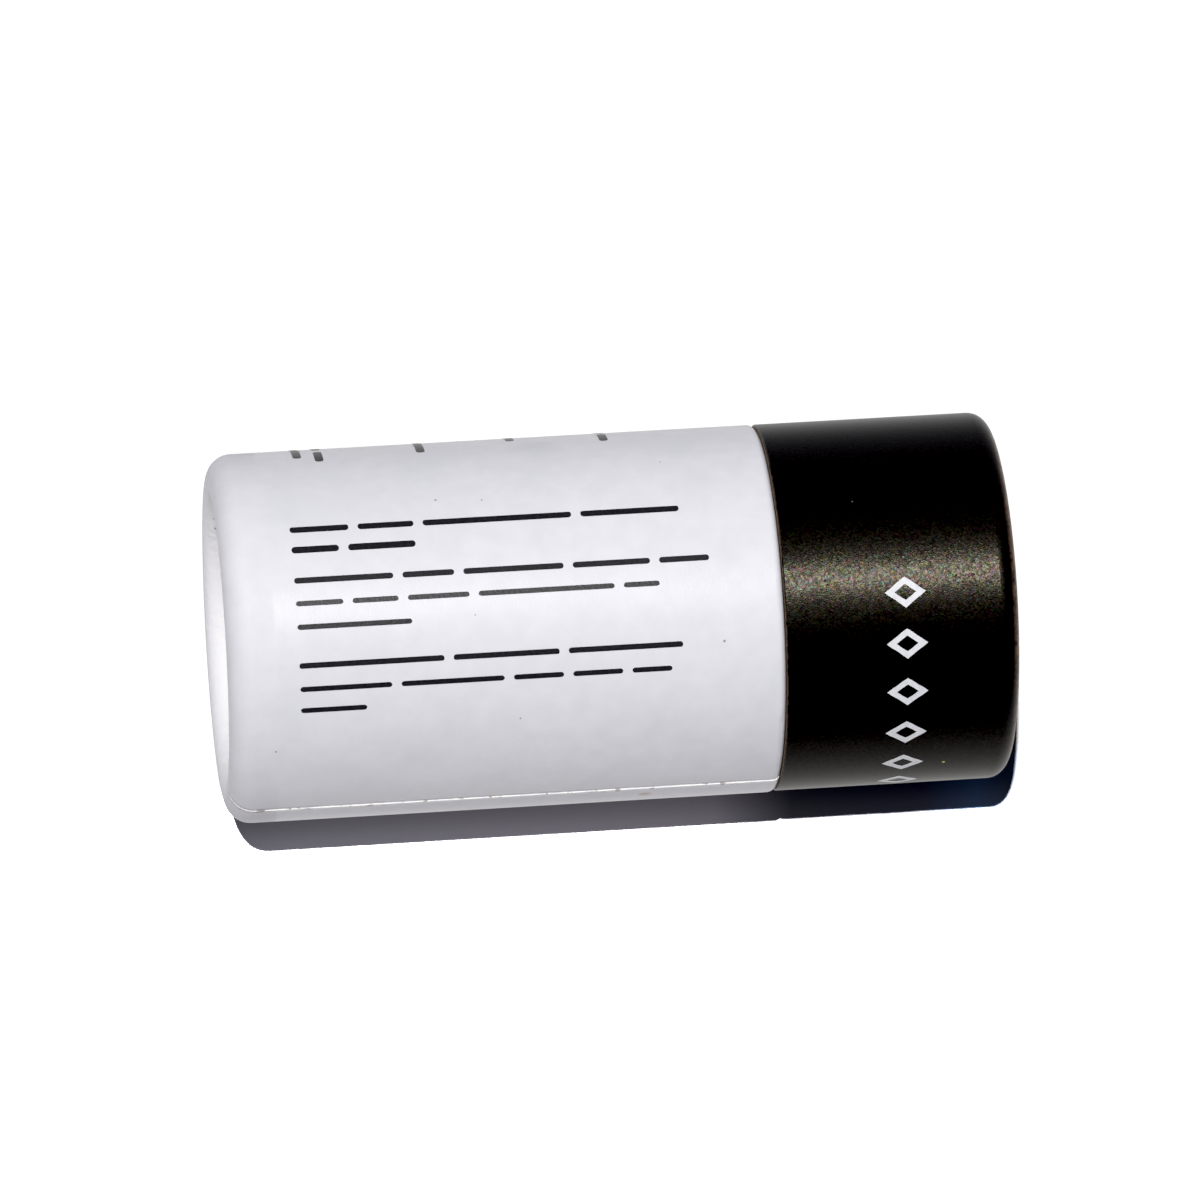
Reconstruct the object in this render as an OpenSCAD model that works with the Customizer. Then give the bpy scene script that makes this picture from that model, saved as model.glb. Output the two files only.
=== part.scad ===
// A push-up paperboard tube for lip balm, standing on its base rim.
// The body and the cap are wound board tubes in printed paper, both with a rolled rim.
// A liner tube stands up out of the body as the neck that the cap slides over.
// A finger pushes the piston up from the open base, and the balm rises out of the neck.

/* [Tube] */
// Outside diameter over the paper wrap, the same on the body and the cap
tube_d = 26; // [20:0.5:40]
// Height of the body, from the base rim to the joint
body_h = 38.9; // [25:0.1:70]
// Height of the cap, from its mouth to its top rim
cap_h = 16.52; // [12:0.02:30]
// Gap in the joint between the body and the closed cap
joint_gap = 0.08; // [0.04:0.02:0.2]

/* [Paper] */
// Thickness of the wound board of the body and the cap
board_t = 1; // [0.6:0.05:1.3]
// Thickness of the printed paper that wraps them
wrap_t = 0.15; // [0.1:0.01:0.25]
// Height of the step where the wrap laps over its own edge
lap_step = 0.08; // [0.03:0.01:0.09]
// Direction of the body wrap's lap, counted from +X
body_lap_at = -21; // [-180:1:180]
// Direction of the cap wrap's lap, counted from +X
cap_lap_at = 78; // [-180:1:180]

/* [Rolled rims] */
// Radius inside the bends of the board at a rolled rim
bend_r = 0.15; // [0.05:0.05:0.6]
// How much wider the outer bend of the base rim is than its inner one
base_ease = 0.45; // [0.05:0.05:0.6]
// Width of the flat crest that the rim stands on
rim_land = 0.35; // [0.2:0.05:1]
// Height of the turned-in edge, from the crest to its raw end
turn_h = 2.6; // [2.1:0.1:5]

/* [Mouths] */
// Rounding of the body's edge at the joint
body_mouth_r = 0.5; // [0.3:0.05:0.9]
// Bevel of the cap wrap's edge at the joint
cap_bevel = 0.09; // [0.02:0.01:0.09]

/* [Liner] */
// Wall of the liner tube that forms the neck
liner_t = 0.8; // [0.5:0.05:1.2]
// Rounding of the neck's upper edges
neck_ease = 0.2; // [0.05:0.05:0.24]

/* [Piston] */
// Height of the piston's collar
collar_h = 6.5; // [4:0.5:10]
// Wall of the piston's collar
collar_t = 0.8; // [0.5:0.05:1.2]
// Thickness of the piston's disc
disc_t = 1; // [0.6:0.1:1.6]
// Depth of the disc inside the lower end of the collar
disc_inset = 1.8; // [0.5:0.1:2.2]

/* [Balm] */
// Depth of the balm's top below the top of the neck
balm_below = 0.4; // [0.2:0.1:3]
// Depth of the shallow dish that the balm sets with
balm_dish = 0.5; // [0.2:0.05:0.9]
// Rounding of the balm's upper edge
balm_edge_r = 0.6; // [0.3:0.1:0.9]

/* [Cap] */
// Thickness of the disc that closes the cap
cap_disc_t = 1; // [0.6:0.1:1.6]
// Room between the top of the neck and the cap's disc
headroom = 0.5; // [0.3:0.1:2]

/* [Clearances] */
// Line of glue between a wrap, disc or edge and the board that it is stuck to
glue = 0.02; // [0.01:0.01:0.04]
// Radial clearance of the neck in the cap and of the liner in the body
neck_fit = 0.05; // [0.02:0.01:0.1]
// Radial clearance of the piston and the balm in the liner
piston_fit = 0.1; // [0.05:0.01:0.2]
// Gap under the piston where it rests on the turned-in edge
rest_gap = 0.1; // [0.05:0.05:0.3]

/* [Hidden] */
$fn = 128;

// Radii from the outside of the wrap to the inside of the piston's collar
tube_r = tube_d / 2;
board_r = tube_r - wrap_t - glue;
bore_r = board_r - board_t;
liner_r = bore_r - neck_fit;
liner_bore_r = liner_r - liner_t;
collar_r = liner_bore_r - piston_fit;
collar_bore_r = collar_r - collar_t;

// Radius of the outermost sheet round the inner bend of a rim
rim_r = bend_r + board_t + glue + wrap_t;

// Heights up the closed tube
tube_h = body_h + joint_gap + cap_h;
liner_z = turn_h + glue;
neck_z = tube_h - turn_h - glue - cap_disc_t - headroom;
collar_z = turn_h + rest_gap;
disc_z = collar_z + disc_inset;
balm_z = disc_z + disc_t + glue;
balm_top = neck_z - balm_below;

paper_white = "#eceef0";
film_black = "#161618";
card_black = "#1d1d1f";
board_brown = "#9c8b78";
board_kraft = "#b8a68e";
balm_cream = "#efe3c4";

// The rim bends about two centres, one at each end of its flat crest
function outer_x(ease) = tube_r - rim_r - ease;
function inner_x(ease) = outer_x(ease) - rim_land;

// The area that a sheet of the wall encloses where it turns in at a rim.
// The sheet is r from the inner bend's centre, and the outer bend is wider than that by ease.
module turned_area(r, top, ease) {
    wide = r + ease;
    translate([outer_x(ease), rim_r + ease])
        intersection() {
            circle(wide);
            translate([0, -wide]) square(wide);
        }
    translate([outer_x(ease), rim_r + ease]) square([wide, top - rim_r - ease]);
    translate([inner_x(ease), rim_r]) circle(r);
    translate([inner_x(ease), rim_r - r]) square([rim_land, r]);
    translate([inner_x(ease) - r, rim_r]) square([rim_land + r, top - rim_r]);
}

// The section of a sheet that runs down the wall, round the rim and up its turned-in edge
module turned_sheet(r_in, r_out, top, ease) {
    difference() {
        turned_area(r_out, top, ease);
        turned_area(r_in, top + 1, ease);
        translate([inner_x(ease) - r_out - 1, turn_h])
            square([r_out + 1 + rim_land / 2, top]);
    }
}

// A square corner that a rounding of radius r takes off
module corner_cut(r) {
    difference() {
        square(r + 1);
        circle(r);
    }
}

// The board's section, rounded at its mouth where the wrap goes over it
module board_section(top, mouth_r, ease) {
    under = max(mouth_r - wrap_t - glue, 0);
    difference() {
        turned_sheet(bend_r, bend_r + board_t, mouth_r > 0 ? top - wrap_t - glue : top, ease);
        if (under > 0)
            translate([tube_r - mouth_r, top - mouth_r]) corner_cut(under);
    }
}

// The room that the wrap leaves for the board and all that is inside it
module board_room(top, mouth_r, ease) {
    difference() {
        turned_area(rim_r - wrap_t, top + 1, ease);
        if (mouth_r > 0)
            translate([tube_r - mouth_r, top - mouth_r]) corner_cut(mouth_r - wrap_t);
    }
}

// The wrap's section, with room behind it for its lap: rounded over a rounded mouth, else bevelled
module wrap_section(top, mouth_r, ease) {
    deep = wrap_t + lap_step;
    difference() {
        turned_sheet(rim_r - deep, rim_r, top - mouth_r, ease);
        if (mouth_r == 0)
            translate([tube_r, top])
                polygon([[1, -cap_bevel - 1], [1, 1], [-cap_bevel - 1, 1]]);
    }
    if (mouth_r > 0)
        translate([tube_r - mouth_r, top - mouth_r])
            intersection() {
                difference() {
                    circle(mouth_r);
                    circle(mouth_r - deep);
                }
                square(mouth_r);
            }
}

// One turn of a sheet, its lap at +X, whose last quarter climbs over its first edge by a step.
// The quarter turns about a centre that is off by the step, and a flat strip joins the two.
module lapped_turn(step) {
    rotate_extrude(start = 90, angle = 270) children();
    translate([step, 0, 0]) rotate_extrude(start = 0, angle = 90) children();
    rotate([90, 0, 90]) linear_extrude(step) children();
}

// A printed wrap, cut free of the board under it, with its lap in the given direction
module wrap(top, mouth_r, ease, lap_at) {
    rotate([0, 0, lap_at]) difference() {
        lapped_turn(lap_step) wrap_section(top, mouth_r, ease);
        rotate([0, 0, 30]) rotate_extrude() board_room(top, mouth_r, ease);
    }
}

// A plain tube between two radii
module ring(r_out, r_in, h) {
    rotate_extrude() translate([r_in, 0]) square([r_out - r_in, h]);
}

// Turns what stands on the floor over, to hang from the top of the closed tube
module from_top() {
    translate([0, 0, tube_h]) mirror([0, 0, 1]) children();
}

module body_tube() {
    color(board_kraft) rotate_extrude() board_section(body_h, body_mouth_r, base_ease);
}

module body_label() {
    color(paper_white) wrap(body_h, body_mouth_r, base_ease, body_lap_at);
}

module inner_tube() {
    color(board_kraft) rotate_extrude() translate([liner_bore_r, liner_z])
        difference() {
            square([liner_t, neck_z - liner_z]);
            translate([liner_t - neck_ease, neck_z - liner_z - neck_ease]) corner_cut(neck_ease);
            translate([neck_ease, neck_z - liner_z - neck_ease]) mirror([1, 0]) corner_cut(neck_ease);
        }
}

module piston_collar() {
    color(board_kraft) translate([0, 0, collar_z]) ring(collar_r, collar_bore_r, collar_h);
}

module piston_disc() {
    color(board_kraft) translate([0, 0, disc_z]) cylinder(r = collar_bore_r - glue, h = disc_t);
}

module balm() {
    low_r = collar_bore_r - glue;
    dish_r = (pow(liner_bore_r - balm_edge_r, 2) + pow(balm_dish, 2)) / (2 * balm_dish);
    color(balm_cream) rotate_extrude() {
        translate([0, balm_z]) square([low_r, collar_z + collar_h - balm_z + 1]);
        difference() {
            translate([0, collar_z + collar_h + glue])
                square([collar_r, balm_top - collar_z - collar_h - glue]);
            translate([collar_r - balm_edge_r, balm_top - balm_edge_r]) corner_cut(balm_edge_r);
            translate([0, balm_top - balm_dish + dish_r]) circle(dish_r, $fn = 512);
        }
    }
}

module cap_tube() {
    color(board_brown) from_top() rotate_extrude() board_section(cap_h, 0, 0);
}

module cap_label() {
    color(film_black) from_top() wrap(cap_h, 0, 0, cap_lap_at);
}

module cap_disc() {
    color(card_black) from_top() translate([0, 0, turn_h + glue])
        cylinder(r = bore_r - glue, h = cap_disc_t);
}

body_tube();
body_label();
inner_tube();
piston_collar();
piston_disc();
balm();
cap_tube();
cap_label();
cap_disc();
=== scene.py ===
"""Dresses a push-up paperboard tube of lip balm and lights it as in the photograph.

The tube stands on its base rim. The photograph shows it lying down, so the camera is turned on its side:
the tube's +Z runs to the right of the picture and its -X is up.
"""
import math

import bpy
from mathutils import Matrix, Vector


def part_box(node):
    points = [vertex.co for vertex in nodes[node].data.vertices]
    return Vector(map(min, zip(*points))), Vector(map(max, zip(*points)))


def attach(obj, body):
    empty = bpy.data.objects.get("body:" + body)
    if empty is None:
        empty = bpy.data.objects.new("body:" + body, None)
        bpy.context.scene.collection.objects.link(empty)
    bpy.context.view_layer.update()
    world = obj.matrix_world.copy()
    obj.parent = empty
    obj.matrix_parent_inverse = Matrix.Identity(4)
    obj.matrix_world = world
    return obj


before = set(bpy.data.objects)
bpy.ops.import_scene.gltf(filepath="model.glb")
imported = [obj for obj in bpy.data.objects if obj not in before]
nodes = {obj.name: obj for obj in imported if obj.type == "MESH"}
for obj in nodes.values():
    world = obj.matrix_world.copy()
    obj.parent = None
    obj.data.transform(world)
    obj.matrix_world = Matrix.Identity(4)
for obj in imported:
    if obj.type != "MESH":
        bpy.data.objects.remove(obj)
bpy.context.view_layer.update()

MM = 0.001

# The tube, from the frame
label_low, label_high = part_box("body_label")
cap_low, cap_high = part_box("cap_label")
TUBE_R = -label_low.y
BODY_TOP = label_high.z
TUBE_TOP = cap_high.z

# The camera, on the base's side of the tube and turned so that the tube lies across the picture
VIEW_DISTANCE = 0.712
VIEW_RISE = math.radians(5.787)
VIEW_ROLL = math.radians(-3.313)
VIEW_AIM = Vector((-1.21 * MM, 0, 27.37 * MM))
FOCAL_PIXELS = 10053
PICTURE_PIXELS = 1200
SENSOR = 36.0

# The light: a hard low key from above the picture, beside the camera, and a pale table behind the tube
KEY_TURN = math.radians(15.2)
KEY_RISE = math.radians(8.0)
KEY_POWER = 2.65
CAP_KEY_TURN = math.radians(15.6)
CAP_KEY_POWER = 4.9
KEY_ANGLE = math.radians(0.7)
STAGE_KEY_TURN = math.radians(9.7)
STAGE_KEY_RISE = math.radians(7.3)
STAGE_KEY_POWER = 60.0
SKY_LIGHT = (0.27, 0.275, 0.315)
TABLE_LIGHT = (0.93, 0.92, 0.91)
TABLE_SIDE = Vector((0.40, 1, 0))
TABLE_LIGHT_FROM = 0.15
TABLE_LIGHT_FULL = 0.85
BLACK_LEVEL = 0.012

# The sheets that stand for the table and the floor: their size, their grey in the sun and the lighter grey
# painted high up, and in millimetres how softly the painted shade changes beside the tube and where the high
# part starts and is full
SHEET_SIZE = 1.6
SHEET_GREY = (0.055, 0.055, 0.055)
HIGH_PAINTED_SHADE_GREY = (0.11, 0.11, 0.115)
BESIDE_FADE = 3.0
HIGH_FROM = 19.0
HIGH_FULL = 24.0

# The marks that stand where the print is: each row's turn round the tube from -Y towards +X in degrees,
# the thickness of its bars and their lengths, in millimetres
FRONT_ROWS = [
    (-34.1, 0.50, (4.1, 3.9, 10.4, 6.9)),
    (-26.9, 0.50, (3.3, 4.7)),
    (-16.8, 0.42, (6.9, 3.6, 7.0, 5.4, 3.5)),
    (-9.5, 0.42, (3.3, 3.2, 4.3, 9.5, 2.5)),
    (-2.3, 0.42, (8.0,)),
    (9.6, 0.42, (10.1, 7.4, 8.0)),
    (17.0, 0.42, (6.4, 7.2, 3.5, 3.5, 2.8)),
    (23.9, 0.42, (4.6,)),
]
FRONT_ROWS_FROM = 4.9
BAR_GAP = 0.65

# The marks of the side panel run round the tube: each row's height, the turn of its near end and its bars
SIDE_ROWS = [
    (6.2, -71.4, (3.4, 2.2, 4.1)),
    (7.7, -67.6, (2.6, 4.6)),
    (14.9, -70.5, (3.8, 2.9, 3.2)),
    (21.4, -78.4, (4.4, 3.0)),
    (27.9, -72.2, (2.4, 3.6, 2.7)),
]
SIDE_BAR = 0.6

# The row of lozenges round the cap
LOZENGE_HIGH = 2.9
LOZENGE_WIDE = 2.35
LOZENGE_LINE = 0.43
LOZENGE_PITCH = 16.0
LOZENGE_FIRST = -2.4
LOZENGES = 10
LOZENGE_BELOW_TOP = 8.05

# The print's thickness, and how far it stands proud of the paper
INK_THICK = 0.03
INK_PROUD = 0.018

# Specks on the body's paper: the turn in degrees, the height and the size in millimetres
SPECKS = [
    (7.8, 0.7, 0.10),
    (-42.8, 15.3, 0.08),
    (-41.7, 18.5, 0.06),
    (9.5, 34.6, 0.09),
    (38.2, 3.1, 0.07),
    (31.0, 20.2, 0.06),
    (-3.0, 17.3, 0.05),
    (-55.0, 31.4, 0.05),
    (152.0, 12.4, 0.08),
    (203.0, 29.0, 0.07),
]
SEAM_TURN = math.radians(69.0)
STAIN_PLACE = (75.0, 29.4)
SMUDGE_PLACE = (-70.0, 22.9)
FLECK_PLACE = (63.0, 50.4)

# Specks and small near-white marks on the inner bend of the base rim, and the depth of that bend from the
# outer face
RIM_SPECKS = [
    (-105.5, 0.62, 0.08),
    (-112.0, 0.85, 0.05),
    (-118.6, 0.60, 0.10),
    (-125.7, 0.78, 0.10),
]
RIM_PALE_MARKS = [
    (-131.6, 0.50, 0.12),
    (-134.8, 0.71, 0.12),
]
RIM_DEPTH = 3.35


def shader(name):
    """A new material and its main shader."""
    made = bpy.data.materials.new(name)
    made.use_nodes = True
    return made, made.node_tree.nodes["Principled BSDF"]


def add(tree, kind, **values):
    """A node, with inputs by name and other settings by attribute."""
    node = tree.nodes.new(kind)
    for key, value in values.items():
        if key in node.inputs:
            node.inputs[key].default_value = value
        else:
            setattr(node, key, value)
    return node


def object_place(tree):
    return add(tree, "ShaderNodeTexCoord").outputs["Object"]


def math_node(tree, operation, first, second=None):
    node = add(tree, "ShaderNodeMath", operation=operation)
    for slot, value in enumerate((first, second)):
        if value is None:
            continue
        if isinstance(value, (int, float)):
            node.inputs[slot].default_value = value
        else:
            tree.links.new(value, node.inputs[slot])
    return node.outputs[0]


def noise(tree, place, scale, detail=2.0, roughness=0.5):
    node = add(tree, "ShaderNodeTexNoise", Scale=scale, Detail=detail, Roughness=roughness)
    tree.links.new(place, node.inputs["Vector"])
    return node.outputs["Fac"]


def ramp(tree, value, stops):
    """A colour ramp from (place, colour) stops."""
    node = tree.nodes.new("ShaderNodeValToRGB")
    band = node.color_ramp
    while len(band.elements) < len(stops):
        band.elements.new(0.5)
    for element, (place, colour) in zip(band.elements, stops):
        element.position = place
        element.color = (*colour, 1)
    tree.links.new(value, node.inputs["Fac"])
    return node.outputs["Color"]


def bump(tree, height, strength, distance, under=None):
    node = add(tree, "ShaderNodeBump", Strength=strength, Distance=distance)
    tree.links.new(height, node.inputs["Height"])
    if under is not None:
        tree.links.new(under, node.inputs["Normal"])
    return node.outputs["Normal"]


def mix_colour(tree, share, first, second):
    """A colour between two, each a socket or a plain colour."""
    node = add(tree, "ShaderNodeMix", data_type="RGBA")
    tree.links.new(share, node.inputs["Factor"])
    for slot, value in ((6, first), (7, second)):
        if isinstance(value, tuple):
            node.inputs[slot].default_value = (*value, 1)
        else:
            tree.links.new(value, node.inputs[slot])
    return node.outputs[2]


def fade(tree, value, low, high):
    """Rises smoothly from 0 at low to 1 at high, or falls where low is the higher."""
    node = add(tree, "ShaderNodeMapRange", interpolation_type="SMOOTHSTEP")
    node.inputs["From Min"].default_value = low
    node.inputs["From Max"].default_value = high
    tree.links.new(value, node.inputs["Value"])
    return node.outputs["Result"]


def cylinder_place(tree, place):
    """The turn round the tube from -Y towards +X, the distance from its axis, and the height."""
    split = tree.nodes.new("ShaderNodeSeparateXYZ")
    tree.links.new(place, split.inputs[0])
    back = math_node(tree, "MULTIPLY", split.outputs["Y"], -1.0)
    turn = math_node(tree, "ARCTAN2", split.outputs["X"], back)
    across = math_node(tree, "POWER", split.outputs["X"], 2.0)
    deep = math_node(tree, "POWER", split.outputs["Y"], 2.0)
    radius = math_node(tree, "SQRT", math_node(tree, "ADD", across, deep))
    return turn, radius, split.outputs["Z"]


def on_tube(turn, height, depth=0.0):
    """A point by its turn in degrees, its height and its depth in from the outer face in millimetres."""
    angle = math.radians(turn)
    reach = TUBE_R - depth * MM
    return Vector((reach * math.sin(angle), -reach * math.cos(angle), height * MM))


def spot(tree, place, centre, size, soft=0.5):
    """A round spot: 1 within it, fading to 0 at its edge."""
    gap = add(tree, "ShaderNodeVectorMath", operation="DISTANCE")
    tree.links.new(place, gap.inputs[0])
    gap.inputs[1].default_value = centre
    return fade(tree, gap.outputs["Value"], size * (1 + soft), size * (1 - soft))


def stretched(tree, place, scale):
    """The place scaled by axis, so that a pattern runs along one of them."""
    node = add(tree, "ShaderNodeMapping")
    node.inputs["Scale"].default_value = scale
    tree.links.new(place, node.inputs["Vector"])
    return node.outputs["Vector"]


def scattered_dots(tree, place, scale, size, share):
    """Small dots, in that share of a pattern's cells."""
    cells = add(tree, "ShaderNodeTexVoronoi", Scale=scale)
    tree.links.new(place, cells.inputs["Vector"])
    chance = tree.nodes.new("ShaderNodeSeparateColor")
    tree.links.new(cells.outputs["Color"], chance.inputs[0])
    chosen = math_node(tree, "LESS_THAN", chance.outputs["Red"], share)
    return math_node(tree, "MULTIPLY", fade(tree, cells.outputs["Distance"], size, 0.4 * size), chosen)


def satin_film(tree, main, place, roughness, level, grain_scale, grain_height):
    """The gloss of a thin matt film over printed paper: a soft sheen broken by a fine grain."""
    main.inputs["Roughness"].default_value = roughness
    main.inputs["Specular IOR Level"].default_value = level
    grain = noise(tree, place, grain_scale, 1)
    return bump(tree, grain, 1.0, grain_height * MM)


def paper_white():
    """White paper under a satin film, with its lap's raw edge, a few specks, a little handling soil, and
    painted light: a highlight and a shade line at the lap, and painted fill light in the rim's inner bend.
    """
    made, main = shader("printed_paper_white")
    tree = made.node_tree
    place = object_place(tree)
    turn, radius, height = cylinder_place(tree, place)
    mottle = noise(tree, place, 700, 3)
    colour = ramp(tree, mottle, [(0.3, (0.755, 0.745, 0.765)), (0.7, (0.795, 0.785, 0.805))])
    clouds = fade(tree, noise(tree, place, 170, 2), 0.45, 0.8)
    colour = mix_colour(tree, math_node(tree, "MULTIPLY", clouds, 0.14), colour, (0.55, 0.55, 0.60))
    smudge = spot(tree, place, on_tube(*SMUDGE_PLACE), 1.3 * MM, 0.9)
    colour = mix_colour(tree, math_node(tree, "MULTIPLY", smudge, 0.12), colour, (0.30, 0.30, 0.36))
    for angle, level, size in SPECKS:
        dot = spot(tree, place, on_tube(angle, level), size * MM)
        colour = mix_colour(tree, math_node(tree, "MULTIPLY", dot, 0.75), colour, (0.16, 0.14, 0.14))
    inside = fade(tree, radius, TUBE_R - 1.2 * MM, TUBE_R - 2.2 * MM)
    outside = math_node(tree, "SUBTRACT", 1.0, inside)
    dust = math_node(tree, "MULTIPLY", scattered_dots(tree, place, 260, 0.03, 0.18), outside)
    colour = mix_colour(tree, math_node(tree, "MULTIPLY", dust, 0.45), colour, (0.25, 0.23, 0.22))
    colour = seam(tree, colour, place, turn, height)
    # The rim's inner bend is lighter: whiter unprinted paper, and painted fill light for the light that
    # bounces inside the opening
    colour = mix_colour(tree, inside, colour, (0.90, 0.89, 0.90))
    for angle, level, size in RIM_SPECKS:
        dot = spot(tree, place, on_tube(angle, level, RIM_DEPTH), size * MM, 0.8)
        colour = mix_colour(tree, math_node(tree, "MULTIPLY", dot, 0.8), colour, (0.10, 0.09, 0.09))
    for angle, level, size in RIM_PALE_MARKS:
        pale_mark = spot(tree, place, on_tube(angle, level, RIM_DEPTH), size * MM, 0.8)
        colour = mix_colour(tree, pale_mark, colour, (0.98, 0.98, 0.98))
    tree.links.new(colour, main.inputs["Base Color"])
    grain = satin_film(tree, main, place, 0.35, 0.32, 6500, 0.009)
    rubbed = math_node(tree, "MULTIPLY", fade(tree, height, 3.45 * MM, 3.2 * MM), 0.25)
    tree.links.new(math_node(tree, "ADD", rubbed, 0.35), main.inputs["Roughness"])
    creases = noise(tree, stretched(tree, place, (1, 1, 0.12)), 1800, 2)
    curl = math_node(tree, "MULTIPLY", creases, inside)
    tree.links.new(bump(tree, curl, 0.7, 0.10 * MM, grain), main.inputs["Normal"])
    return made


def seam(tree, colour, place, turn, height):
    """The lap's raw paper edge: a whiter line with a painted highlight where the edge catches the light,
    broken in places, a painted shade line along the lap's step beside it, rubbed grey low down, dark grime
    and one stain.
    """
    breaks = noise(tree, stretched(tree, place, (1, 1, 0.25)), 2600, 2)
    raw = math_node(
        tree,
        "MULTIPLY",
        fade(tree, turn, SEAM_TURN - 0.014, SEAM_TURN - 0.002),
        fade(tree, turn, SEAM_TURN + 0.034, SEAM_TURN + 0.008),
    )
    # The bright line is the raw edge's whiter paper together with a painted highlight where that edge catches
    # the light
    bright = math_node(tree, "MULTIPLY", raw, fade(tree, breaks, 0.70, 0.46))
    bright = math_node(tree, "MULTIPLY", bright, fade(tree, height, 1.2 * MM, 3.6 * MM))
    colour = mix_colour(tree, bright, colour, (0.92, 0.905, 0.885))
    rubbed = math_node(tree, "MULTIPLY", raw, fade(tree, height, 3.8 * MM, 1.8 * MM))
    colour = mix_colour(tree, math_node(tree, "MULTIPLY", rubbed, 0.6), colour, (0.60, 0.575, 0.56))
    # Painted shade: a dark line along the lap's step, beside the raw edge
    beside = math_node(
        tree,
        "MULTIPLY",
        fade(tree, turn, SEAM_TURN - 0.026, SEAM_TURN - 0.016),
        fade(tree, turn, SEAM_TURN - 0.006, SEAM_TURN - 0.014),
    )
    colour = mix_colour(tree, math_node(tree, "MULTIPLY", beside, 0.4), colour, (0.30, 0.29, 0.29))
    grime = math_node(tree, "MULTIPLY", raw, fade(tree, noise(tree, place, 2000, 2), 0.58, 0.68))
    colour = mix_colour(tree, math_node(tree, "MULTIPLY", grime, 0.65), colour, (0.20, 0.15, 0.12))
    stain = spot(tree, place, on_tube(*STAIN_PLACE), 0.42 * MM, 0.7)
    return mix_colour(tree, math_node(tree, "MULTIPLY", stain, 0.65), colour, (0.50, 0.33, 0.20))


def film_tint(tree, place):
    """The film's sheen: warm, with tiny glints of every hue."""
    glints = add(tree, "ShaderNodeTexVoronoi", Scale=6500.0)
    tree.links.new(place, glints.inputs["Vector"])
    patches = fade(tree, noise(tree, place, 1500, 2), 0.30, 0.70)
    share = math_node(tree, "ADD", math_node(tree, "MULTIPLY", patches, 0.35), 0.65)
    faint = add(tree, "ShaderNodeHueSaturation", Saturation=0.5)
    tree.links.new(glints.outputs["Color"], faint.inputs["Color"])
    sparkle = fade(tree, noise(tree, place, 5200, 1), 0.35, 0.65)
    sparkle = math_node(tree, "ADD", sparkle, 0.55)
    tree.links.new(sparkle, faint.inputs["Value"])
    warmed = add(tree, "ShaderNodeVectorMath", operation="MULTIPLY")
    tree.links.new(faint.outputs["Color"], warmed.inputs[0])
    warmed.inputs[1].default_value = (1, 0.90, 0.67)
    return mix_colour(tree, share, (0.8, 0.72, 0.58), warmed.outputs["Vector"])


def paper_black():
    """Black paper under a satin film, brown along the rolled crest, partly wear and partly a painted warm
    highlight, and rubbed to brown at the mouth.
    """
    made, main = shader("laminated_paper_black")
    tree = made.node_tree
    place = object_place(tree)
    turn, radius, height = cylinder_place(tree, place)
    worn = noise(tree, place, 2200, 3)
    shoulder = math_node(
        tree,
        "MULTIPLY",
        fade(tree, height, TUBE_TOP - 0.55 * MM, TUBE_TOP - 0.15 * MM),
        fade(tree, radius, TUBE_R - 1.45 * MM, TUBE_R - 0.95 * MM),
    )
    # The crest's brown band is partly rubbed kraft and partly a painted highlight, where the curled crest
    # catches warm light
    crest = math_node(tree, "MULTIPLY", shoulder, fade(tree, worn, 0.25, 0.70))
    crest = math_node(tree, "MULTIPLY", crest, 0.8)
    mouth = math_node(
        tree,
        "MULTIPLY",
        fade(tree, height, cap_low.z + 0.09 * MM, cap_low.z + 0.03 * MM),
        fade(tree, worn, 0.38, 0.52),
    )
    colour = mix_colour(tree, crest, (0.0045, 0.0042, 0.0042), (0.13, 0.075, 0.045))
    colour = mix_colour(tree, math_node(tree, "MULTIPLY", mouth, 0.3), colour, (0.14, 0.10, 0.075))
    dust = scattered_dots(tree, place, 420, 0.04, 0.10)
    colour = mix_colour(tree, math_node(tree, "MULTIPLY", dust, 0.25), colour, (0.30, 0.29, 0.27))
    fleck = spot(tree, place, on_tube(*FLECK_PLACE), 0.10 * MM)
    colour = mix_colour(tree, fleck, colour, (0.62, 0.50, 0.16))
    tree.links.new(colour, main.inputs["Base Color"])
    tree.links.new(film_tint(tree, place), main.inputs["Specular Tint"])
    tree.links.new(satin_film(tree, main, place, 0.30, 0.115, 9000, 0.010), main.inputs["Normal"])
    return made


def ink_black():
    """Black ink under the same film as the paper."""
    made, main = shader("print_black")
    tree = made.node_tree
    place = object_place(tree)
    spread = noise(tree, place, 5000, 2)
    tree.links.new(
        ramp(tree, spread, [(0.3, (0.010, 0.010, 0.012)), (0.7, (0.022, 0.021, 0.024))]),
        main.inputs["Base Color"],
    )
    tree.links.new(satin_film(tree, main, place, 0.32, 0.30, 6500, 0.009), main.inputs["Normal"])
    return made


def ink_white():
    """White ink on the black paper, a little thin in places."""
    made, main = shader("print_white")
    tree = made.node_tree
    place = object_place(tree)
    spread = noise(tree, place, 3500, 3)
    tree.links.new(
        ramp(tree, spread, [(0.3, (0.70, 0.70, 0.71)), (0.6, (0.80, 0.80, 0.81))]),
        main.inputs["Base Color"],
    )
    tree.links.new(satin_film(tree, main, place, 0.36, 0.32, 6500, 0.009), main.inputs["Normal"])
    return made


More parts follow.
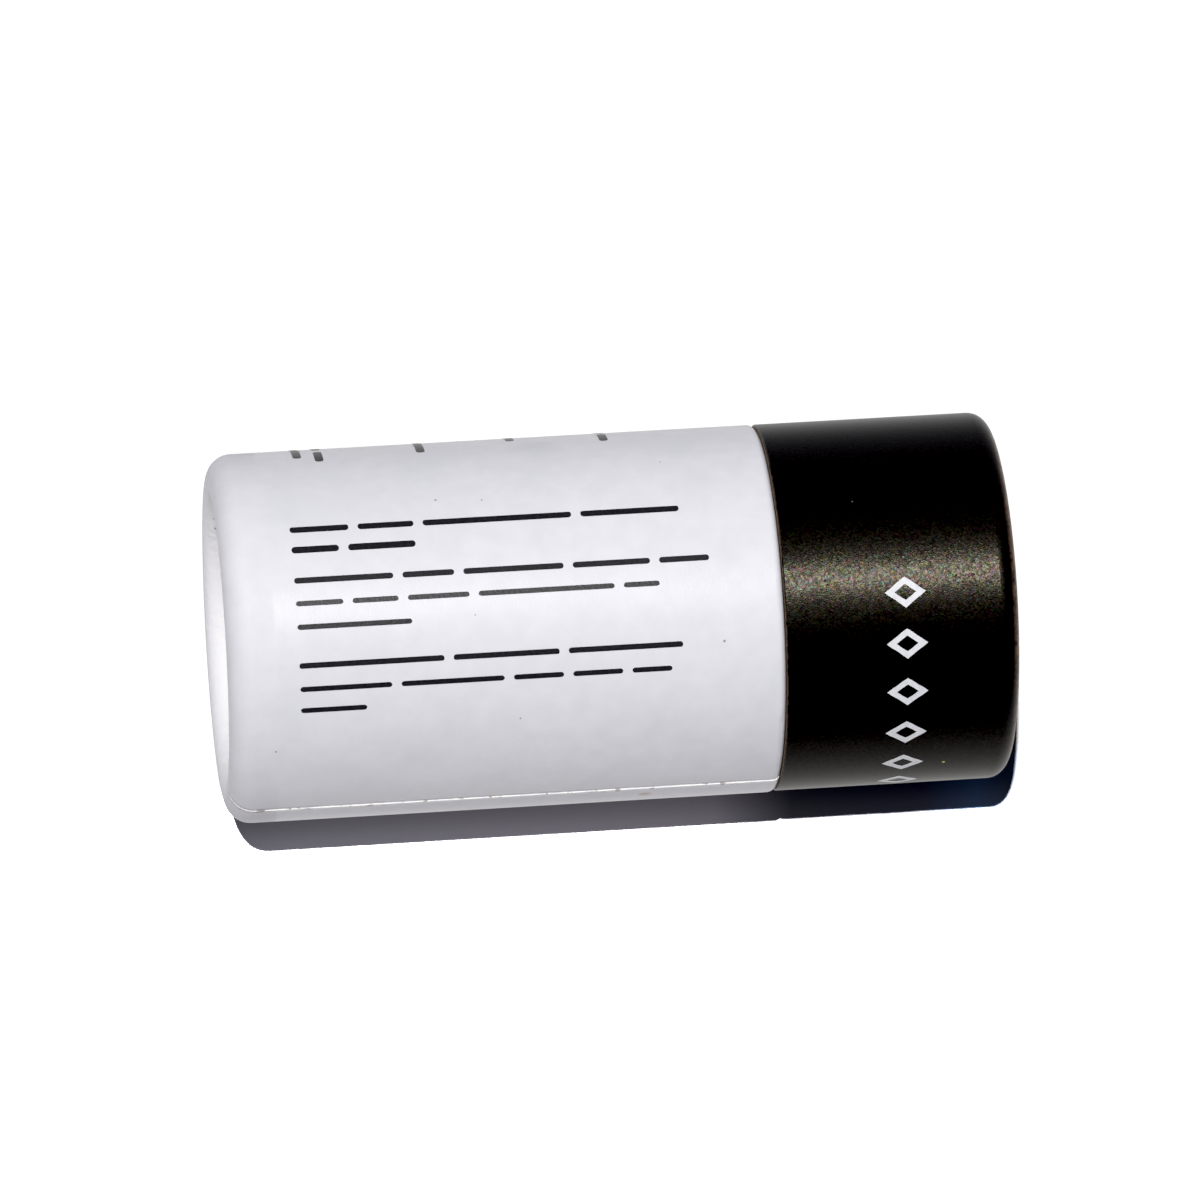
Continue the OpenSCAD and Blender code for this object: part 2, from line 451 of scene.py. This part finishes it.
def board(name, dark, light, pitch=None):
    """Raw board: short fibres in two browns, plies in its cut ends, and where it is wound a helical joint."""
    made, main = shader(name)
    tree = made.node_tree
    place = object_place(tree)
    turn, radius, height = cylinder_place(tree, place)
    fibres = noise(tree, place, 4500, 4, 0.6)
    colour = ramp(tree, fibres, [(0.3, dark), (0.7, light)])
    plies = math_node(tree, "SINE", math_node(tree, "MULTIPLY", radius, 2 * math.pi / (0.22 * MM)))
    shade = math_node(tree, "MULTIPLY", fade(tree, plies, 0.1, 1.0), 0.22)
    colour = mix_colour(tree, shade, colour, dark)
    main.inputs["Roughness"].default_value = 0.85
    main.inputs["Specular IOR Level"].default_value = 0.25
    nap = bump(tree, fibres, 0.6, 0.05 * MM)
    if pitch is not None:
        joint = helical_joint(tree, turn, height, pitch)
        cut = tuple(0.4 * part for part in dark)
        colour = mix_colour(tree, math_node(tree, "MULTIPLY", joint, 0.65), colour, cut)
        nap = bump(tree, math_node(tree, "SUBTRACT", 1.0, joint), 0.6, 0.05 * MM, nap)
    tree.links.new(colour, main.inputs["Base Color"])
    tree.links.new(nap, main.inputs["Normal"])
    return made


def helical_joint(tree, turn, height, pitch):
    """The fine line where one turn of the wound strip meets the next."""
    share = math_node(tree, "MULTIPLY", turn, 1 / (2 * math.pi))
    winding = math_node(tree, "ADD", share, math_node(tree, "MULTIPLY", height, 1 / (pitch * MM)))
    winding = math_node(tree, "FRACT", math_node(tree, "ADD", winding, 10.0))
    before = fade(tree, winding, 0.494, 0.4975)
    after = fade(tree, winding, 0.506, 0.5025)
    return math_node(tree, "MULTIPLY", before, after)


def balm_wax():
    """Poured balm: pale yellow, faintly clouded, with the soft skin that it sets with."""
    made, main = shader("balm_wax")
    tree = made.node_tree
    place = object_place(tree)
    cloud = noise(tree, place, 350, 3)
    tree.links.new(
        ramp(tree, cloud, [(0.35, (0.78, 0.66, 0.42)), (0.65, (0.85, 0.75, 0.52))]),
        main.inputs["Base Color"],
    )
    main.inputs["Roughness"].default_value = 0.38
    main.inputs["Subsurface Weight"].default_value = 0.4
    main.inputs["Subsurface Radius"].default_value = (0.0012, 0.0008, 0.0004)
    main.inputs["Subsurface Scale"].default_value = 1.0
    skin = noise(tree, place, 2500, 2)
    soft = bump(tree, cloud, 0.5, 0.10 * MM)
    tree.links.new(bump(tree, skin, 0.25, 0.03 * MM, soft), main.inputs["Normal"])
    return made


def dress(name, material):
    piece = nodes[name]
    piece.data.materials.clear()
    piece.data.materials.append(material)


KRAFT_DARK = (0.30, 0.22, 0.15)
KRAFT_LIGHT = (0.50, 0.40, 0.29)
PAPER_BLACK = paper_black()
BOARD_KRAFT = board("raw_board_kraft", KRAFT_DARK, KRAFT_LIGHT, 62)
dress("body_label", paper_white())
dress("cap_label", PAPER_BLACK)
dress("cap_disc", PAPER_BLACK)
dress("body_tube", BOARD_KRAFT)
dress("inner_tube", BOARD_KRAFT)
dress("piston_collar", BOARD_KRAFT)
dress("piston_disc", board("raw_card_kraft", KRAFT_DARK, KRAFT_LIGHT))
dress("cap_tube", board("raw_board_brown", (0.20, 0.145, 0.10), (0.48, 0.39, 0.30), 48))
dress("balm", balm_wax())


def flat_outline(corners, wide, high, turn=0.0):
    """A flat face in front of the tube, wide across it and high along it, left in edit mode."""
    bpy.ops.object.select_all(action="DESELECT")
    bpy.ops.mesh.primitive_circle_add(
        vertices=corners,
        radius=0.5,
        fill_type="NGON",
        location=(0, -TUBE_R - MM, 0),
        rotation=(math.radians(90), 0, 0),
    )
    face = bpy.context.object
    face.rotation_euler.y = turn
    bpy.ops.object.transform_apply(location=False, rotation=True, scale=False)
    face.dimensions = (wide, 0, high)
    face.scale.y = 1
    bpy.ops.object.transform_apply(location=True, rotation=True, scale=True)
    bpy.ops.object.mode_set(mode="EDIT")
    bpy.ops.mesh.select_all(action="SELECT")
    return face


def cut_across(wide, step):
    """Cuts the edited face into strips along the tube, so that it can bend round it."""
    strips = max(2, math.ceil(wide / step))
    for number in range(1, strips):
        bpy.ops.mesh.select_all(action="SELECT")
        bpy.ops.mesh.bisect(plane_co=(wide * (number / strips - 0.5), 0, 0), plane_no=(1, 0, 0))


def set_round(face, turn, height):
    """Turns the mark round the tube and lifts it to its height."""
    bpy.ops.object.mode_set(mode="OBJECT")
    face.rotation_euler = (0, 0, math.radians(turn))
    face.location.z = height
    bpy.ops.object.transform_apply(location=True, rotation=True, scale=True)


def bar(wide, high, turn, height):
    """A bar with round ends, lying along the tube or round it."""
    face = flat_outline(4, wide, high, math.radians(45))
    corner = 0.46 * min(wide, high)
    bpy.ops.mesh.bevel(offset=corner, segments=4, affect="VERTICES")
    cut_across(wide, 0.5 * MM)
    set_round(face, turn, height)
    return face


def lozenge(wide, high, line, turn, height):
    """A lozenge drawn in one even line."""
    face = flat_outline(4, wide, high)
    bpy.ops.mesh.inset(thickness=line)
    bpy.ops.mesh.delete(type="FACE")
    cut_across(wide, 0.3 * MM)
    set_round(face, turn, height)
    return face


def lay_print(marks, name, carrier, body, finish):
    """Joins the marks, lays them on the paper that carries them and gives them the ink's thickness."""
    bpy.ops.object.select_all(action="DESELECT")
    for mark in marks:
        mark.select_set(True)
    bpy.context.view_layer.objects.active = marks[0]
    bpy.ops.object.join()
    layer = bpy.context.object
    layer.name = name
    layer.data.name = name
    wrap = layer.modifiers.new("lay", "SHRINKWRAP")
    wrap.target = nodes[carrier]
    wrap.wrap_method = "NEAREST_SURFACEPOINT"
    wrap.wrap_mode = "ON_SURFACE"
    wrap.offset = INK_PROUD * MM
    bpy.ops.object.modifier_apply(modifier="lay")
    skin = layer.modifiers.new("ink", "SOLIDIFY")
    skin.thickness = INK_THICK * MM
    skin.offset = -1
    bpy.ops.object.modifier_apply(modifier="ink")
    bpy.ops.object.shade_smooth_by_angle(angle=math.radians(40))
    layer.data.materials.clear()
    layer.data.materials.append(finish)
    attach(layer, body)
    return layer


def front_marks():
    """The rows of bars along the tube."""
    for turn, thick, lengths in FRONT_ROWS:
        start = FRONT_ROWS_FROM
        for length in lengths:
            yield bar(thick * MM, length * MM, turn, (start + 0.5 * length) * MM)
            start += length + BAR_GAP


def side_marks():
    """The rows of bars round the tube, from their near end away from the camera."""
    for height, turn, lengths in SIDE_ROWS:
        for length in lengths:
            span = math.degrees(length * MM / TUBE_R)
            yield bar(length * MM, SIDE_BAR * MM, turn - 0.5 * span, height * MM)
            turn -= span + math.degrees(BAR_GAP * MM / TUBE_R)


def cap_marks():
    for number in range(LOZENGES):
        yield lozenge(
            LOZENGE_WIDE * MM,
            LOZENGE_HIGH * MM,
            LOZENGE_LINE * MM,
            LOZENGE_FIRST + number * LOZENGE_PITCH,
            TUBE_TOP - LOZENGE_BELOW_TOP * MM,
        )


INK_BLACK = ink_black()
lay_print(list(front_marks()), "body_print_front", "body_label", "base", INK_BLACK)
lay_print(list(side_marks()), "body_print_side", "body_label", "base", INK_BLACK)
lay_print(list(cap_marks()), "cap_print", "cap_label", "cap", ink_white())


def one_sided(name, shades):
    """A backdrop's finish: matt where it faces the viewer, and see-through from behind, with painted shadow
    tones in its colour.
    """
    made, main = shader(name)
    tree = made.node_tree
    split = tree.nodes.new("ShaderNodeSeparateXYZ")
    tree.links.new(object_place(tree), split.inputs[0])
    share = math_node(tree, "MULTIPLY", split.outputs["Z"], 1 / (1.25 * TUBE_TOP))
    # Painted shadow tones: by height, lighter under the white body and darker under the black cap, and twice
    # as light farther out as close to the tube
    near = ramp(tree, share, shades)
    far = ramp(tree, share, [(place, tuple(2.0 * part for part in shade)) for place, shade in shades])
    painted_shadow_tone = mix_colour(tree, fade(tree, split.outputs["X"], TUBE_R, TUBE_R + BESIDE_FADE * MM), near, far)
    # Beside the tube the sheet keeps the plain grey that its lamp lifts to white; where the tube hides it
    # from the camera it takes the painted shadow tone
    beside = fade(tree, split.outputs["X"], 0.80 * TUBE_R, 0.92 * TUBE_R)
    behind = behind_tube(tree, split.outputs["X"], split.outputs["Z"])
    colour = mix_colour(tree, math_node(tree, "MAXIMUM", beside, behind), SHEET_GREY, painted_shadow_tone)
    # Painted shade: high above the tube a lighter grey, so that shadows there read lighter
    high_up = fade(tree, split.outputs["Z"], TUBE_TOP + HIGH_FROM * MM, TUBE_TOP + HIGH_FULL * MM)
    tree.links.new(mix_colour(tree, high_up, colour, HIGH_PAINTED_SHADE_GREY), main.inputs["Base Color"])
    main.inputs["Roughness"].default_value = 1.0
    main.inputs["Specular IOR Level"].default_value = 0.0
    side = add(tree, "ShaderNodeNewGeometry").outputs["Backfacing"]
    clear = tree.nodes.new("ShaderNodeBsdfTransparent")
    mix = tree.nodes.new("ShaderNodeMixShader")
    tree.links.new(side, mix.inputs["Fac"])
    tree.links.new(main.outputs["BSDF"], mix.inputs[1])
    tree.links.new(clear.outputs["BSDF"], mix.inputs[2])
    out = tree.nodes["Material Output"]
    tree.links.new(mix.outputs["Shader"], out.inputs["Surface"])
    return made


def behind_tube(tree, across, height):
    """The part of an upright sheet that the closed tube stands in front of."""
    middle = fade(tree, across, -0.85 * TUBE_R, -0.70 * TUBE_R)
    above_base = fade(tree, height, 2.0 * MM, 5.0 * MM)
    below_top = fade(tree, height, TUBE_TOP - 2.0 * MM, TUBE_TOP - 5.0 * MM)
    return math_node(tree, "MULTIPLY", middle, math_node(tree, "MULTIPLY", above_base, below_top))


def backdrop(name, turn, place, finish):
    """A large pale sheet that takes the tube's shadow and neither shades nor mirrors in it."""
    bpy.ops.object.select_all(action="DESELECT")
    bpy.ops.mesh.primitive_plane_add(size=SHEET_SIZE, location=place, rotation=turn)
    bpy.ops.object.transform_apply(location=True, rotation=True, scale=True)
    sheet = bpy.context.object
    sheet.name = name
    sheet.data.materials.append(finish)
    sheet.visible_diffuse = False
    sheet.visible_glossy = False
    sheet.visible_transmission = False
    sheet.visible_shadow = False
    return sheet


FLOOR_SHADES = [(0.0, (0.06, 0.06, 0.065))]
JOINT_SHARE = 0.80 * BODY_TOP / TUBE_TOP
# Painted shadow tones on the table by height: lighter under the white body, dark under the black cap, navy
# under the cap's end, then neutral
TABLE_PAINTED_SHADOWS = [
    (0.0, (0.235, 0.227, 0.243)),
    (JOINT_SHARE - 0.04, (0.225, 0.212, 0.228)),
    (JOINT_SHARE + 0.04, (0.068, 0.067, 0.073)),
    (0.74, (0.062, 0.063, 0.074)),
    (0.795, (0.064, 0.084, 0.130)),
    (0.83, (0.060, 0.066, 0.078)),
]
floor = backdrop("floor", (0, 0, 0), (0, 0, -0.02 * MM), one_sided("floor_paper", FLOOR_SHADES))
table = backdrop(
    "table",
    (math.radians(90), 0, 0),
    (0, max(label_high.y, cap_high.y) + 0.02 * MM, 0.5 * TUBE_TOP),
    one_sided("table_paper_painted_shadow", TABLE_PAINTED_SHADOWS),
)


def beam(turn, rise):
    """The way that light travels from the camera's side, turned towards +X and risen towards +Z."""
    return Vector((math.sin(turn) * math.cos(rise), math.cos(turn) * math.cos(rise), math.sin(rise)))


def sun(name, power, towards):
    lamp = bpy.data.objects.new(name, bpy.data.lights.new(name, "SUN"))
    lamp.data.energy = power
    lamp.data.angle = KEY_ANGLE
    lamp.rotation_mode = "QUATERNION"
    lamp.rotation_quaternion = towards.to_track_quat("-Z", "Y")
    bpy.context.scene.collection.objects.link(lamp)
    return lamp


def light_only(lamp, *lit):
    """The lamp lights only these objects, and all of the tube still shades it."""
    chosen = bpy.data.collections.new(lamp.name + "_lights")
    for thing in lit:
        chosen.objects.link(thing)
    lamp.light_linking.receiver_collection = chosen


# The film's sheen on the cap runs straight along it, so its own key mirrors the camera's rise
film_pieces = [nodes["cap_label"], nodes["cap_disc"]]
other_pieces = [piece for piece in bpy.context.scene.objects
                if piece.type == "MESH" and piece not in (floor, table, *film_pieces)]
light_only(sun("key_light", KEY_POWER, beam(KEY_TURN, KEY_RISE)), *other_pieces)
light_only(sun("cap_light", CAP_KEY_POWER, beam(CAP_KEY_TURN, -VIEW_RISE)), *film_pieces)
light_only(sun("table_light", STAGE_KEY_POWER, beam(STAGE_KEY_TURN, STAGE_KEY_RISE)), table)
light_only(sun("floor_light", STAGE_KEY_POWER, Vector((0.25, 0.3, -1)).normalized()), floor)


def studio_world():
    """A dim sky on the camera's side and a sunlit pale table behind, seen by the camera as plain white."""
    world = bpy.data.worlds.new("studio")
    world.use_nodes = True
    tree = world.node_tree
    towards = add(tree, "ShaderNodeTexCoord").outputs["Generated"]
    side = add(tree, "ShaderNodeVectorMath", operation="DOT_PRODUCT")
    tree.links.new(towards, side.inputs[0])
    side.inputs[1].default_value = TABLE_SIDE
    share = fade(tree, side.outputs["Value"], TABLE_LIGHT_FROM, TABLE_LIGHT_FULL)
    fill = tree.nodes["Background"]
    tree.links.new(mix_colour(tree, share, SKY_LIGHT, TABLE_LIGHT), fill.inputs["Color"])
    white = add(tree, "ShaderNodeBackground", Color=(1, 1, 1, 1), Strength=1.0)
    seen = add(tree, "ShaderNodeLightPath").outputs["Is Camera Ray"]
    mix = tree.nodes.new("ShaderNodeMixShader")
    tree.links.new(seen, mix.inputs["Fac"])
    tree.links.new(fill.outputs[0], mix.inputs[1])
    tree.links.new(white.outputs[0], mix.inputs[2])
    tree.links.new(mix.outputs[0], tree.nodes["World Output"].inputs["Surface"])
    bpy.context.scene.world = world


studio_world()
tone = bpy.context.scene.view_settings
tone.view_transform = "Standard"
tone.use_curve_mapping = True
tone.curve_mapping.black_level = (BLACK_LEVEL,) * 3
tone.curve_mapping.update()


def camera():
    ahead = Vector((0, math.cos(VIEW_RISE), math.sin(VIEW_RISE)))
    along = Vector((0, -math.sin(VIEW_RISE), math.cos(VIEW_RISE)))
    over = along.cross(ahead)
    right = math.cos(VIEW_ROLL) * along + math.sin(VIEW_ROLL) * over
    up = math.cos(VIEW_ROLL) * over - math.sin(VIEW_ROLL) * along
    made = bpy.data.objects.new("camera", bpy.data.cameras.new("camera"))
    bpy.context.scene.collection.objects.link(made)
    turn = Matrix((right, up, -ahead)).transposed().to_4x4()
    made.matrix_world = Matrix.Translation(VIEW_AIM - ahead * VIEW_DISTANCE) @ turn
    made.data.sensor_width = SENSOR
    made.data.lens = SENSOR * FOCAL_PIXELS / PICTURE_PIXELS
    made.data.clip_start = 0.05
    made.data.clip_end = 5
    bpy.context.scene.camera = made


camera()
